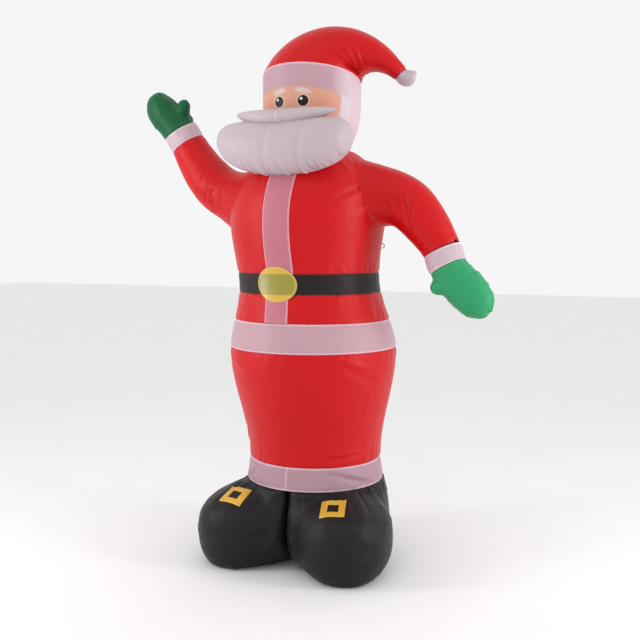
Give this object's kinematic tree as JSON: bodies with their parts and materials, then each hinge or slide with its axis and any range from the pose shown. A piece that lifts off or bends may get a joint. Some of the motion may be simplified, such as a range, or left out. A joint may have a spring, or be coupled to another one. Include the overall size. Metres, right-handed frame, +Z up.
{
  "type": "inflatable santa figure",
  "caption": "Standing blown-up fabric Father Christmas with a folded hat, one arm raised in a wave, an air-filled beard, a belt and puffy boots.",
  "frame": {"origin": "on the ground, under the centre of the figure's box", "axes": "+Z up from the soles to the hat; the figure faces -Y and its own left hand is at +X"},
  "size_m": [1.7164, 0.819, 2.3897],
  "materials": {
    "red_fabric": "smooth satin nylon, held taut by air",
    "white_fabric": "smooth satin nylon, tinged by the red around it",
    "black_fabric": "smooth satin nylon",
    "belt_fabric": "smooth satin nylon",
    "green_fabric": "smooth satin nylon",
    "buckle_film": "glossy, slightly see-through mustard film",
    "boot_buckle_film": "gold satin appliqué",
    "red_cord": "woven cord"
  },
  "bodies": {
    "root": {"hat_crown": "red_fabric", "coat_upper": "red_fabric", "coat_skirt": "red_fabric", "robe": "red_fabric", "sleeve_right": "red_fabric", "sleeve_left": "red_fabric", "hat_tip": "white_fabric", "head": "white_fabric", "beard": "white_fabric", "moustache": "white_fabric", "coat_hem_band": "white_fabric", "robe_hem_band": "white_fabric", "front_strip_upper": "white_fabric", "front_strip_lower": "white_fabric", "cuff_right": "white_fabric", "cuff_left": "white_fabric", "boot_right": "black_fabric", "boot_left": "black_fabric", "belt": "belt_fabric", "mitten_right": "green_fabric", "mitten_left": "green_fabric", "belt_buckle": "buckle_film", "boot_buckle_right": "boot_buckle_film", "boot_buckle_left": "boot_buckle_film", "tether_loop_right": "red_cord", "tether_loop_left": "red_cord"}
  },
  "joints": []
}
